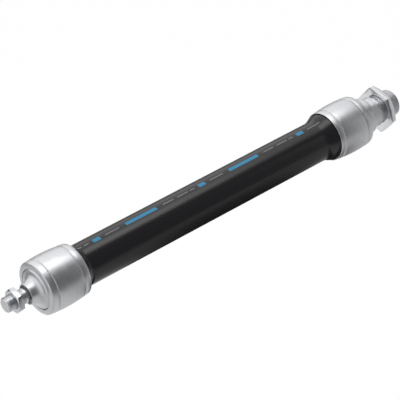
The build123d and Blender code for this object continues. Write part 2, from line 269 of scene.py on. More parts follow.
@dataclass(frozen=True)
class PrintedRubber:
    """Extruded chloroprene with plain printed bars: satin black, the yarns under the skin just felt."""

    rubber: str = "1B191C"
    ink: str = "1583B0"
    pale_ink: str = "8B8E93"
    length: float = 388.0  # millimetres of hose over the whole UV map
    girth: float = 139.8
    period: float = 137.0  # between two repeats of the printed row
    row_end: float = 360.0  # the row stops short of the port end's clamp
    soft_edge: float = 0.15
    # Middle along the row, length and width of each bar, in millimetres
    blue_bars: tuple[Bar, ...] = ((52.8, 9.0, 5.0), (109.8, 40.0, 4.4))
    pale_bars: tuple[Bar, ...] = ((72.5, 18.0, 0.9), (8.0, 14.0, 0.9), (27.0, 14.0, 0.9), (40.0, 6.0, 0.9))
    draw_lines: Point = (0.02, 1.6)  # of the extrusion, per millimetre along the hose and round it
    yarn_lean: float = 24.0  # degrees from the hose's axis, to either side
    yarn_wave: float = 0.225  # scale of the wave that shows a yarn every 1.4 mm
    roughness: Point = (0.20, 0.32)

    def build(self) -> bpy.types.Material:
        """Build the material on the cover's own UV map, where U runs along the hose and V round it.

        Returns:
            The finished material.
        """
        material, tree, shader = new_material("printed_chloroprene_rubber")
        uv = add_node(tree, "ShaderNodeUVMap", {"uv_map": "wrap"}, {})
        size = add_node(
            tree, "ShaderNodeMapping", {"Scale": (self.length, self.girth, 1.0)}, {"Vector": uv.outputs[0]}
        ).outputs[0]
        axes = add_node(tree, "ShaderNodeSeparateXYZ", {}, {"Vector": size})
        along, around = axes.outputs[0], axes.outputs[1]
        repeat = add_node(
            tree, "ShaderNodeMath", {"operation": "WRAP", 1: self.period, 2: 0.0}, {0: along}
        ).outputs[0]

        # Wear of the ink, where fine specks of rubber show through, and the end of the printed row
        specks = add_node(tree, "ShaderNodeTexNoise", {"Scale": 1.1, "Detail": 3.0}, {"Vector": size})
        cover = add_node(
            tree, "ShaderNodeMapRange", {"From Min": 0.25, "From Max": 0.42, "To Min": 0.55, "To Max": 1.0},
            {"Value": specks.outputs["Fac"]},
        )
        row = add_node(tree, "ShaderNodeMath", {"operation": "LESS_THAN", 1: self.row_end}, {0: along})
        inked = add_node(
            tree, "ShaderNodeMath", {"operation": "MULTIPLY"}, {0: cover.outputs[0], 1: row.outputs[0]}
        ).outputs[0]

        def printed(bars: tuple[Bar, ...]) -> bpy.types.NodeSocket:
            """Mask of one ink.

            Args:
                bars: middle along the row, length and width of each bar, in millimetres.

            Returns:
                The output that is 1 where the ink covers the rubber.
            """
            joined = None
            for centre, length, width in bars:
                mask = inked
                spans = ((repeat, centre, length / 2), (around, self.girth / 2, width / 2))
                for value, middle, half in spans:
                    offset = add_node(
                        tree, "ShaderNodeMath", {"operation": "SUBTRACT", 1: middle}, {0: value}
                    ).outputs[0]
                    away = add_node(tree, "ShaderNodeMath", {"operation": "ABSOLUTE"}, {0: offset})
                    edge = {"From Min": half - self.soft_edge, "From Max": half + self.soft_edge}
                    inside = add_node(
                        tree, "ShaderNodeMapRange", {**edge, "To Min": 1.0, "To Max": 0.0},
                        {"Value": away.outputs[0]},
                    )
                    both = {0: mask, 1: inside.outputs[0]}
                    mask = add_node(tree, "ShaderNodeMath", {"operation": "MULTIPLY"}, both).outputs[0]
                if joined is None:
                    joined = mask
                else:
                    either = {0: joined, 1: mask}
                    joined = add_node(tree, "ShaderNodeMath", {"operation": "MAXIMUM"}, either).outputs[0]
            return joined

        marked = add_node(
            tree, "ShaderNodeMix", {"data_type": "RGBA", 6: linear(self.rubber), 7: linear(self.ink)},
            {0: printed(self.blue_bars)},
        )
        colour = add_node(
            tree, "ShaderNodeMix", {"data_type": "RGBA", 7: linear(self.pale_ink)},
            {0: printed(self.pale_bars), 6: marked.outputs[2]},
        )
        # Draw lines of the extrusion, about 0.6 mm apart round the hose and long along it
        drawn = add_node(tree, "ShaderNodeMapping", {"Scale": (*self.draw_lines, 1.0)}, {"Vector": size})
        lines = add_node(
            tree, "ShaderNodeTexNoise", {"Scale": 1.0, "Detail": 2.0}, {"Vector": drawn.outputs[0]}
        ).outputs["Fac"]
        # Two crossed sets of yarns, 1.4 mm apart, telegraph faintly through the cover
        relief = lines
        for lean in (self.yarn_lean, -self.yarn_lean):
            laid = add_node(
                tree, "ShaderNodeMapping", {"Rotation": (0.0, 0.0, math.radians(lean))}, {"Vector": size}
            )
            yarns = add_node(
                tree, "ShaderNodeTexWave",
                {"bands_direction": "Y", "Scale": self.yarn_wave, "Distortion": 0.3, "Detail": 1.0},
                {"Vector": laid.outputs[0]},
            )
            heights = {0: relief, 1: yarns.outputs["Fac"]}
            relief = add_node(tree, "ShaderNodeMath", {"operation": "ADD"}, heights).outputs[0]
        bump = add_node(
            tree, "ShaderNodeBump", {"Strength": 0.3, "Distance": 0.02 * MM}, {"Height": relief}
        )
        low, high = self.roughness
        rough = add_node(tree, "ShaderNodeMapRange", {"To Min": low, "To Max": high}, {"Value": lines})
        shader.inputs["IOR"].default_value = 1.52
        tree.links.new(colour.outputs[2], shader.inputs["Base Color"])
        tree.links.new(rough.outputs[0], shader.inputs["Roughness"])
        tree.links.new(bump.outputs[0], shader.inputs["Normal"])
        return material


@dataclass(frozen=True)
class PlainRubber:
    """Moulded or extruded rubber that stays hidden: matte black with a fine skin."""

    dark: str = "1C1B1D"
    light: str = "29282B"
    roughness: float = 0.6
    uneven: float = 0.1
    grains: float = 0.9  # bumps of the skin per millimetre

    def build(self) -> bpy.types.Material:
        """Build the material.

        Returns:
            The finished material.
        """
        material, tree, shader = new_material("plain_rubber")
        place = add_node(tree, "ShaderNodeTexCoord", {}, {}).outputs["Object"]
        skin = add_node(
            tree, "ShaderNodeTexNoise", {"Scale": self.grains / MM, "Detail": 3.0}, {"Vector": place}
        )
        base = add_node(
            tree, "ShaderNodeMix", {"data_type": "RGBA", 6: linear(self.dark), 7: linear(self.light)},
            {0: skin.outputs["Fac"]},
        )
        rough = add_node(
            tree, "ShaderNodeMapRange",
            {"To Min": self.roughness - self.uneven, "To Max": self.roughness + self.uneven},
            {"Value": skin.outputs["Fac"]},
        )
        bump = add_node(
            tree, "ShaderNodeBump", {"Strength": 0.3, "Distance": 0.02 * MM},
            {"Height": skin.outputs["Fac"]},
        )
        shader.inputs["IOR"].default_value = 1.52
        tree.links.new(base.outputs[2], shader.inputs["Base Color"])
        tree.links.new(rough.outputs[0], shader.inputs["Roughness"])
        tree.links.new(bump.outputs[0], shader.inputs["Normal"])
        return material


@dataclass(frozen=True)
class AramidYarn:
    """Parallel aramid yarns laid at an angle: golden, with a silky stripe for every yarn."""

    lean: float  # degrees from the hose's axis
    colour: str = "C9A24E"
    gap: str = "8C6B2C"
    spacing: float = 1.0  # millimetres from yarn to yarn
    wave: float = 0.314  # scale of the wave that gives one band a millimetre
    length: float = 388.0  # millimetres of hose over the whole UV map
    girth: float = 135.0
    roughness: float = 0.45
    sheen: float = 0.3

    def build(self) -> bpy.types.Material:
        """Build the material on the layer's own UV map, where U runs along the hose and V round it.

        Returns:
            The finished material.
        """
        material, tree, shader = new_material(f"aramid_yarn_{'left' if self.lean > 0 else 'right'}")
        uv = add_node(tree, "ShaderNodeUVMap", {"uv_map": "wrap"}, {})
        size = add_node(
            tree, "ShaderNodeMapping",
            {"Scale": (self.length, self.girth, 1.0), "Rotation": (0.0, 0.0, math.radians(self.lean))},
            {"Vector": uv.outputs[0]},
        )
        yarns = add_node(
            tree, "ShaderNodeTexWave",
            {"bands_direction": "Y", "Scale": self.wave / self.spacing, "Distortion": 0.2},
            {"Vector": size.outputs[0]},
        )
        base = add_node(
            tree, "ShaderNodeMix", {"data_type": "RGBA", 6: linear(self.gap), 7: linear(self.colour)},
            {0: yarns.outputs["Fac"]},
        )
        bump = add_node(
            tree, "ShaderNodeBump", {"Strength": 0.6, "Distance": 0.1 * MM},
            {"Height": yarns.outputs["Fac"]},
        )
        shader.inputs["Roughness"].default_value = self.roughness
        shader.inputs["Sheen Weight"].default_value = self.sheen
        tree.links.new(base.outputs[2], shader.inputs["Base Color"])
        tree.links.new(bump.outputs[0], shader.inputs["Normal"])
        return material


@dataclass(frozen=True)
class SpringSteel:
    """Hardened and oiled spring steel: dark grey, with brown tempering clouds."""

    colour: str = "6A6866"
    temper: str = "5A5048"
    roughness: Point = (0.28, 0.45)
    clouds: float = 0.12  # tempering clouds per millimetre

    def build(self) -> bpy.types.Material:
        """Build the material.

        Returns:
            The finished material.
        """
        material, tree, shader = new_material("oiled_spring_steel")
        place = add_node(tree, "ShaderNodeTexCoord", {}, {}).outputs["Object"]
        clouds = add_node(
            tree, "ShaderNodeTexNoise", {"Scale": self.clouds / MM, "Detail": 4.0}, {"Vector": place}
        )
        base = add_node(
            tree, "ShaderNodeMix", {"data_type": "RGBA", 6: linear(self.temper), 7: linear(self.colour)},
            {0: clouds.outputs["Fac"]},
        )
        low, high = self.roughness
        rough = add_node(
            tree, "ShaderNodeMapRange", {"To Min": low, "To Max": high}, {"Value": clouds.outputs["Fac"]}
        )
        shader.inputs["Metallic"].default_value = 1.0
        tree.links.new(base.outputs[2], shader.inputs["Base Color"])
        tree.links.new(rough.outputs[0], shader.inputs["Roughness"])
        return material


# Shaping


def finish_edges(piece: bpy.types.Object, width: float, angle: float = 28.0) -> None:
    """Break the sharp edges of a piece and shade it smooth between them.

    Args:
        piece: mesh object that is already at its place.
        width: width of the broken edges in millimetres.
        angle: edges sharper than this, in degrees, are broken.
    """
    bpy.ops.object.select_all(action="DESELECT")
    piece.select_set(True)
    bpy.context.view_layer.objects.active = piece
    if width > 0:
        bpy.ops.object.modifier_add(type="BEVEL")
        bevel = piece.modifiers[-1]
        bevel.width = width * MM
        bevel.segments = 2
        bevel.limit_method = "ANGLE"
        bevel.angle_limit = math.radians(angle)
        bevel.harden_normals = False
        bpy.ops.object.modifier_apply(modifier=bevel.name)
    bpy.ops.object.shade_smooth_by_angle(angle=math.radians(angle))


def draw(name: str, points: list[Point]) -> bpy.types.Object:
    """Draw a line over the X axis by extruding a corner from point to point.

    Args:
        name: name of the new piece.
        points: (x, radius) pairs in millimetres.

    Returns:
        The line, still in edit mode.
    """
    bpy.ops.object.select_all(action="DESELECT")
    bpy.ops.mesh.primitive_plane_add(size=MM)
    piece = bpy.context.active_object
    piece.name = piece.data.name = name
    bpy.ops.object.mode_set(mode="EDIT")
    bpy.ops.mesh.select_all(action="SELECT")
    bpy.ops.mesh.merge(type="CENTER")
    bpy.ops.transform.translate(value=(points[0][0] * MM, 0, points[0][1] * MM))
    for (x0, r0), (x1, r1) in zip(points, points[1:]):
        way = ((x1 - x0) * MM, 0, (r1 - r0) * MM)
        bpy.ops.mesh.extrude_region_move(TRANSFORM_OT_translate={"value": way})
    return piece


def turn(name: str, profile: list[Point], steps: int = 144) -> bpy.types.Object:
    """Turn a closed profile round the X axis.

    Args:
        name: name of the new piece.
        profile: (x, radius) corners in millimetres, in order round the section.
        steps: how many faces go round the axis.

    Returns:
        The turned solid, with its place in its mesh.
    """
    piece = draw(name, profile + profile[:1])
    bpy.ops.mesh.select_all(action="SELECT")
    bpy.ops.mesh.remove_doubles(threshold=1e-6)
    bpy.ops.mesh.select_all(action="SELECT")
    bpy.ops.mesh.spin(steps=steps, angle=math.tau, center=(0, 0, 0), axis=AXIS)
    bpy.ops.mesh.select_all(action="SELECT")
    bpy.ops.mesh.remove_doubles(threshold=1e-6)
    bpy.ops.mesh.select_all(action="SELECT")
    bpy.ops.mesh.delete_loose(use_verts=True, use_edges=True, use_faces=False)
    bpy.ops.mesh.select_all(action="SELECT")
    bpy.ops.mesh.normals_make_consistent(inside=False)
    bpy.ops.object.mode_set(mode="OBJECT")
    return piece


def combine(piece: bpy.types.Object, tool: bpy.types.Object, operation: str) -> None:
    """Apply a Boolean of one piece with another and remove the other.

    Args:
        piece: mesh object that keeps the result.
        tool: mesh object that is used up.
        operation: UNION, INTERSECT or DIFFERENCE.
    """
    bpy.ops.object.select_all(action="DESELECT")
    piece.select_set(True)
    bpy.context.view_layer.objects.active = piece
    bpy.ops.object.modifier_add(type="BOOLEAN")
    boolean = piece.modifiers[-1]
    boolean.operation = operation
    boolean.object = tool
    boolean.solver = "EXACT"
    bpy.ops.object.modifier_apply(modifier=boolean.name)
    bpy.data.objects.remove(tool, do_unlink=True)


def arc(start: Point, middle: Point, finish: Point, count: int) -> list[Point]:
    """Points on the arc through three points, without the first.

    Args:
        start: first point, left out of the result.
        middle: a point on the arc.
        finish: last point.
        count: how many points to return.

    Returns:
        The points, the last one being finish.
    """
    a, b, c = (Vector(p) for p in (start, middle, finish))
    d = 2 * (a.x * (b.y - c.y) + b.x * (c.y - a.y) + c.x * (a.y - b.y))
    aa, bb, cc = (p.length_squared for p in (a, b, c))
    ux = (aa * (b.y - c.y) + bb * (c.y - a.y) + cc * (a.y - b.y)) / d
    uy = (aa * (c.x - b.x) + bb * (a.x - c.x) + cc * (b.x - a.x)) / d
    centre = Vector((ux, uy))
    first, mid, last = (math.atan2(p.y - uy, p.x - ux) for p in (a, b, c))
    sweep = (last - first) % math.tau
    if (mid - first) % math.tau > sweep:
        sweep -= math.tau
    radius = (a - centre).length
    turns = [first + sweep * k / count for k in range(1, count)]
    return [(ux + radius * math.cos(t), uy + radius * math.sin(t)) for t in turns] + [finish]


@dataclass
class Thread:
    """An outside thread on a solid rod."""

    start: float  # millimetres on X
    end: float
    radius: float
    pitch: float = 1.5
    depth: float = 0.613  # of the pitch, as metric threads have it
    around: int = 64  # faces in one turn

    @property
    def root(self) -> float:
        """Radius at the bottom of the thread."""
        return self.radius - self.depth * self.pitch

    def build(self, name: str, envelope: list[Point]) -> bpy.types.Object:
        """Wind the thread, close it into a rod and trim it to the envelope.

        Args:
            name: name of the new piece.
            envelope: closed (x, radius) profile that the rod stays inside, its ends between start and end.

        Returns:
            The trimmed rod.
        """
        low, high = sorted((self.start, self.end))
        first = low - 2 * self.pitch
        root, crest = self.root, self.radius
        # Flat root, 60 degree flanks and a flat crest, in parts of the pitch
        tooth = ((0.0, root), (0.25, root), (0.5625, crest), (0.6875, crest), (1.0, root))
        piece = draw(name, [(first + part * self.pitch, radius) for part, radius in tooth])
        bpy.ops.object.mode_set(mode="OBJECT")
        bpy.ops.object.modifier_add(type="SCREW")
        screw = piece.modifiers[-1]
        screw.axis = "X"
        screw.angle = math.tau
        screw.screw_offset = self.pitch * MM
        screw.iterations = math.ceil((high - low) / self.pitch) + 4
        screw.steps = screw.render_steps = self.around
        bpy.ops.object.modifier_apply(modifier=screw.name)
        bpy.ops.object.mode_set(mode="EDIT")
        bpy.ops.mesh.select_all(action="SELECT")
        bpy.ops.mesh.remove_doubles(threshold=4e-6)
        for place, way in ((low, -1.0), (high, 1.0)):
            bpy.ops.mesh.select_all(action="SELECT")
            bpy.ops.mesh.bisect(
                plane_co=(place * MM, 0, 0), plane_no=(way, 0, 0), clear_outer=True, threshold=1e-7
            )
            bpy.ops.mesh.select_mode(type="VERT")
            bpy.ops.mesh.select_all(action="DESELECT")
            bpy.ops.object.mode_set(mode="OBJECT")
            for vertex in piece.data.vertices:
                vertex.select = abs(vertex.co.x - place * MM) < 5e-7
            bpy.ops.object.mode_set(mode="EDIT")
            bpy.ops.mesh.remove_doubles(threshold=4e-6)
            bpy.ops.mesh.edge_face_add()
        bpy.ops.mesh.select_all(action="SELECT")
        bpy.ops.mesh.normals_make_consistent(inside=False)
        bpy.ops.object.mode_set(mode="OBJECT")
        combine(piece, turn(f"{name}_envelope", envelope), "INTERSECT")
        return piece


def dress(piece: bpy.types.Object, material: bpy.types.Material) -> None:
    """Give a new piece its material.

    Args:
        piece: the new piece.
        material: its finish.
    """
    piece.data.materials.clear()
    piece.data.materials.append(material)


def redress(node: bpy.types.Object, material: bpy.types.Material) -> None:
    """Give a CAD node another material in all of its slots.

    Args:
        node: the node's object.
        material: its finish.
    """
    for slot in node.material_slots:
        slot.material = material


@dataclass
class Finishes:
    """Every material of the muscle, built once."""

    aluminium: bpy.types.Material = field(default_factory=lambda: TurnedAluminium().build())
    zinc: bpy.types.Material = field(default_factory=lambda: ZincPlate().build())
    stud_zinc: bpy.types.Material = field(default_factory=lambda: ZincPlate(roughness=0.32).build())
    cover: bpy.types.Material = field(default_factory=lambda: PrintedRubber().build())
    rubber: bpy.types.Material = field(default_factory=lambda: PlainRubber().build())
    yarn_left: bpy.types.Material = field(default_factory=lambda: AramidYarn(24.0).build())
    yarn_right: bpy.types.Material = field(default_factory=lambda: AramidYarn(-24.0).build())
    spring: bpy.types.Material = field(default_factory=lambda: SpringSteel().build())


# Sub-assemblies


@dataclass
class Hose:
    """The hose: five layers that widen into the clamps."""

    flare_start: float = 16.0  # where the hose begins to widen into the port end, inside the free length
    stud_flare_start: float = 8.5  # the same at the stud end, where less of it shows
    flare_end: float = 2.0
    flare_rise: float = 4.05
    clamp_depth: float = 24.0
    clamp_rise: float = 0.55
    flare_rings: int = 20
    clamp_rings: int = 4
    free_rings: int = 56
    around: int = 120  # faces round the hose
    print_angle: float = 89.0  # where the printed row runs, degrees from +Y towards +Z

    def surface(self, radius: float) -> list[Point]:
        """Outline of one surface of the hose from the stud end to the port end.

        Args:
            radius: radius of the surface over the free length, in millimetres.

        Returns:
            (x, radius) points in millimetres.
        """
        halves = []
        for end, start in ((End.STUD, self.stud_flare_start), (End.PORT, self.flare_start)):
            length = self.flare_end + start
            bend = (length ** 2 + self.flare_rise ** 2) / (4 * self.flare_rise)
            stations = [(-start, radius)]
            for k in range(1, self.flare_rings + 1):
                along = length * k / self.flare_rings
                if along <= length / 2:
                    rise = bend - math.sqrt(bend ** 2 - along ** 2)
                else:
                    rise = self.flare_rise - bend + math.sqrt(bend ** 2 - (length - along) ** 2)
                stations.append((along - start, radius + rise))
            for k in range(1, self.clamp_rings + 1):
                part = k / self.clamp_rings
                stations.append((
                    self.flare_end + part * (self.clamp_depth - self.flare_end),
                    radius + self.flare_rise + part * self.clamp_rise,
                ))
            halves.append(end.points(*stations))
        low, high = halves[0][0][0], halves[1][0][0]
        straight = [(low + (high - low) * k / self.free_rings, radius) for k in range(1, self.free_rings)]
        return halves[0][::-1] + straight + halves[1]

    def wrap(self, piece: bpy.types.Object) -> None:
        """Write the UV map: U along the hose from the stud end, V round it with the seam underneath.

        Args:
            piece: a layer of the hose.
        """
        mesh = piece.data
        low = End.STUD.at(self.clamp_depth) * MM
        length = End.PORT.at(self.clamp_depth) * MM - low
        layer = mesh.uv_layers.new(name="wrap")
        for face in mesh.polygons:
            turns = []
            for loop in face.loop_indices:
                x, y, z = mesh.vertices[mesh.loops[loop].vertex_index].co
                turns.append((x, (math.degrees(math.atan2(z, y)) - self.print_angle + 180) % 360 / 360))
            if max(t for _, t in turns) - min(t for _, t in turns) > 0.5:
                turns = [(x, t + 1 if t < 0.5 else t) for x, t in turns]
            for loop, (x, t) in zip(face.loop_indices, turns):
                layer.data[loop].uv = ((x - low) / length, t)

    def build(self, finishes: Finishes) -> None:
        """Build every layer and dress it.

        Args:
            finishes: the muscle's materials.
        """
        looks = {
            Layer.LINER: (finishes.rubber, "liner_rubber"),
            Layer.FIBRE_INNER: (finishes.yarn_left, "aramid_yarn"),
            Layer.INTERLAYER: (finishes.rubber, "liner_rubber"),
            Layer.FIBRE_OUTER: (finishes.yarn_right, "aramid_yarn"),
            Layer.COVER: (finishes.cover, "cover_rubber"),
        }
        for layer, (material, slot) in looks.items():
            radius, thickness = layer.value
            profile = self.surface(radius) + self.surface(radius + thickness)[::-1]
            piece = turn(f"hose_{layer.name.lower()}_wall", profile, steps=self.around)
            finish_edges(piece, 0.0)
            self.wrap(piece)
            dress(piece, material)
            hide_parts(layer.node)
            End.PORT.at(-self.flare_start) * MM
            End.STUD.at(-self.flare_start) * MM
            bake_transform(piece)
            log.info("built %s", piece.name)


@dataclass
class Clamp:
    """What both ends have: sleeve, lock ring, inner cone, disc springs and O-ring."""

    end: End
    length: float = 39.6
    barrel: float = 29.45
    rear: float = 28.95
    band: float = 28.35
    rim: float = 27.6
    mouth: float = 26.8
    wedge: tuple[Point, Point] = ((2.0, 26.42), (24.35, 26.97))  # place and radius where the hose is held
    bore: Point = (24.7, 27.64)  # where the ring's thread begins inside the sleeve, and its radius
    groove: Point = (6.55, 7.65)
    groove_depth: float = 0.5
    parting: float = 1.0  # chamfer that the sleeve shows at the parting line
    ring_back: float = 31.55
    ring_start: float = 39.75
    ring_thread: float = 27.6
    ring_crown: float = 28.9
    ring_bore: float = 24.05
    ring_lip: float = 22.05

    def sleeve(self) -> bpy.types.Object:
        """Turn the sleeve with its rounded rim, fine groove and swelling barrel.

        Returns:
            The sleeve.
        """
        near, far = self.groove
        floor = self.band - self.groove_depth
        middle = ((far + self.length) / 2, self.barrel)
        outside = arc((far, self.band), middle, (self.length - self.parting, self.rear), 14)
        thread_start, thread_bore = self.bore
        hose_end, hose_start = self.wedge[::-1]
        stations = [
            (0.0, self.mouth + 0.25), (0.0, self.rim - 0.3), (0.08, self.rim - 0.12), (0.3, self.rim),
            (near, self.band), (near + 0.1, floor), (far - 0.1, floor), (far, self.band), *outside,
            (self.length, self.rear - self.parting), (self.length, 27.85),
            (self.length - 0.35, thread_bore), (thread_start, thread_bore), hose_end, hose_start,
            (0.4, self.mouth), (0.1, self.mouth + 0.1),
        ]
        piece = turn(f"{self.end.side}_sleeve_shell", self.end.points(*stations), steps=180)
        finish_edges(piece, 0.06)
        return piece

    def lock_ring(self) -> bpy.types.Object:
        """Turn the lock ring with its collar, bevel and front lip.

        Returns:
            The lock ring.
        """
        back, start = self.ring_back, self.ring_start
        thread, crown, bore, lip = self.ring_thread, self.ring_crown, self.ring_bore, self.ring_lip
        stations = [
            (back, bore), (back, thread - 0.4), (back + 0.4, thread), (start, thread), (start, crown - 0.7),
            (start + 0.7, crown), (start + 6.3, crown - 0.6), (start + 7.2, crown - 1.45),
            (start + 8.1, lip + 0.4), (start + 7.7, lip), (start + 4.4, lip), (start + 4.4, bore),
        ]
        piece = turn(f"{self.end.side}_lock_ring_body", self.end.points(*stations), steps=180)
        finish_edges(piece, 0.1)
        return piece

    def build(self, finishes: Finishes, nodes: dict) -> None:
        """Build the visible pieces and dress the hidden ones.

        Args:
            finishes: the muscle's materials.
            nodes: the CAD nodes by name.
        """
        side = self.end.side
        for piece, node in ((self.sleeve(), "sleeve"), (self.lock_ring(), "lock_ring")):
            dress(piece, finishes.aluminium)
            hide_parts(f"{side}_{node}")
            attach(piece, self.end.body)
            log.info("built %s", piece.name)
        redress(nodes[f"{side}_inner_cone"], finishes.aluminium)
        redress(nodes[f"{side}_disc_spring_inner"], finishes.spring)
        redress(nodes[f"{side}_disc_spring_outer"], finishes.spring)
        redress(nodes[f"{side}_o_ring"], finishes.rubber)
        log.info("dressed the %s end's inner pieces", side)


# The part of a flange inside the clamp, alike at both ends: spigot with a seal groove, seat and boss
SPIGOT: list[Point] = [
    (8.1, 11.4), (8.7, 12.0), (12.1, 12.0), (12.1, 10.25), (15.3, 10.25), (15.3, 12.0), (31.6, 12.0),
    (31.6, 23.4), (32.2, 24.0), (44.1, 24.0), (44.1, 21.7), (46.9, 21.7),
]


@dataclass
class LockNut:
    """Thin hexagon nut, chamfered on its outer face, and behind too where it is double."""

    name: str
    end: End
    back: float  # millimetres outward from the rim of the end's sleeve
    front: float
    flats: float
    bore: float
    turned: float  # degrees that a corner stands from +Y towards +Z
    double: bool
    circle: float = 0.965  # across the flat face that the chamfer leaves, in parts of the flats
    lead: float = 0.6  # bevel at each mouth of the bore

    def build(self, finishes: Finishes) -> None:
        """Build the nut and let it ride on its own body.

        Args:
            finishes: the muscle's materials.
        """
        corner = self.flats / 2 / math.cos(math.radians(30))
        chamfer = self.circle * self.flats / 2
        blank = corner + 0.6
        slope = (blank - chamfer) * math.tan(math.radians(30))
        height = self.front - self.back
        bpy.ops.object.select_all(action="DESELECT")
        bpy.ops.mesh.primitive_cylinder_add(vertices=6, radius=corner * MM, depth=height * MM)
        piece = bpy.context.active_object
        piece.name = piece.data.name = f"{self.name}_hexagon"
        # The cylinder stands on Z with a corner on +Y: lay it along X, then turn the corner to its place
        piece.data.transform(Matrix.Rotation(math.radians(90), 4, "Y"))
        piece.data.transform(Matrix.Rotation(math.radians(self.turned), 4, "X"))
        piece.data.transform(Matrix.Translation((self.end.at((self.back + self.front) / 2) * MM, 0, 0)))
        rear = [(self.back, chamfer), (self.back + slope, blank)] if self.double else [(self.back, blank)]
        section = [
            (self.back, self.bore + self.lead), *rear, (self.front - slope, blank), (self.front, chamfer),
            (self.front, self.bore + self.lead), (self.front - self.lead, self.bore),
            (self.back + self.lead, self.bore),
        ]
        combine(piece, turn(f"{self.name}_blank", self.end.points(*section), steps=96), "INTERSECT")
        finish_edges(piece, 0.15, 25.0)
        dress(piece, finishes.zinc)
        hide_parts(self.name)
        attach(piece, self.name)
        log.info("built %s", piece.name)


@dataclass
class StudEnd:
    """What only the stud end has: closed flange with its conical hub, stud and lock nut."""

    foot: float = 48.9
    hub_top: float = 59.5
    recess_floor: float = 54.7
    neck_front: float = 61.2
    thread_back: float = 63.7
    nut_back: float = 69.2
    nut_front: float = 75.9
    tip: float = 84.85
    radius: float = 8.0
    foot_radius: float = 17.0
    top_radius: float = 11.1
    recess: float = 10.1  # radius of the recess round the stud
    seat: Point = (36.1, 7.55)  # bottom and radius of the thread that holds the stud
    neck: float = 6.8

    def flange(self) -> bpy.types.Object:
        """Turn the flange with the hollow flank and the recess of its hub.

        Returns:
            The flange.
        """
        rim = self.hub_top - 0.4
        bottom, seat = self.seat
        bend = (self.foot + 3.71, 12.988)
        flank = arc((self.foot, self.foot_radius), bend, (rim, self.top_radius), 20)
        stations = [
            (SPIGOT[0][0], 0.0), *SPIGOT, (48.3, 20.1), (self.foot, self.foot_radius), *flank,
            (self.hub_top, self.recess + 0.6), (self.hub_top, self.recess + 0.4), (rim, self.recess),
            (self.recess_floor, self.recess), (self.recess_floor, seat), (bottom, seat), (bottom, 0.0),
        ]
        piece = turn("stud_flange_body", End.STUD.points(*stations), steps=180)
        finish_edges(piece, 0.12)
        return piece

    def stud(self) -> bpy.types.Object:
        """Turn the stud's neck and shank and join them to the threaded rod.

        Returns:
            The stud.
        """
        floor, core = self.recess_floor + 0.05, self.tip - 4.0
        back, front, outside = self.thread_back, self.neck_front, self.radius + 0.05
        thread = Thread(End.STUD.at(back - 1.0), End.STUD.at(self.tip + 1.0), self.radius)
        rod = [
            (back, 0.0), (back, 7.0), (back + 0.9, outside), (self.nut_back - 0.1, outside),
            (self.nut_back, 7.5), (self.nut_front, 7.5), (self.nut_front + 0.1, outside),
            (self.tip - 1.0, outside), (self.tip, self.radius - 1.0), (self.tip, 0.0),
        ]
        shank = [
            (36.7, 0.0), (36.7, 6.5), (37.7, 7.5), (floor, 7.5), (floor, self.neck), (front, self.neck),
            (front + 0.35, 7.55), (front + 0.9, 7.9), (back - 0.5, 7.9), (back + 0.2, 7.6),
            (back + 0.6, 6.4), (core, 6.4), (core, 0.0),
        ]
        piece = thread.build("threaded_stud_body", End.STUD.points(*rod))
        combine(piece, turn("stud_shank", End.STUD.points(*shank)), "UNION")
        finish_edges(piece, 0.0, 25.0)
        return piece

    def build(self, finishes: Finishes) -> None:
        """Build and dress the stud end's own pieces.

        Args:
            finishes: the muscle's materials.
        """
        looks = (
            (self.flange(), finishes.aluminium, "turned_aluminium", "stud_flange"),
            (self.stud(), finishes.stud_zinc, "zinc_plated_steel", "threaded_stud"),
        )
        for piece, material, slot, node in looks:
            dress(piece, material)
            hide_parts(node)
            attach(piece, End.STUD.body)
            log.info("built %s", piece.name)
        LockNut(
            "stud_nut", End.STUD, back=self.nut_back + 0.1, front=self.nut_front - 0.1,
            flats=24.0, bore=7.56, turned=9.5, double=True,
        ).build(finishes)


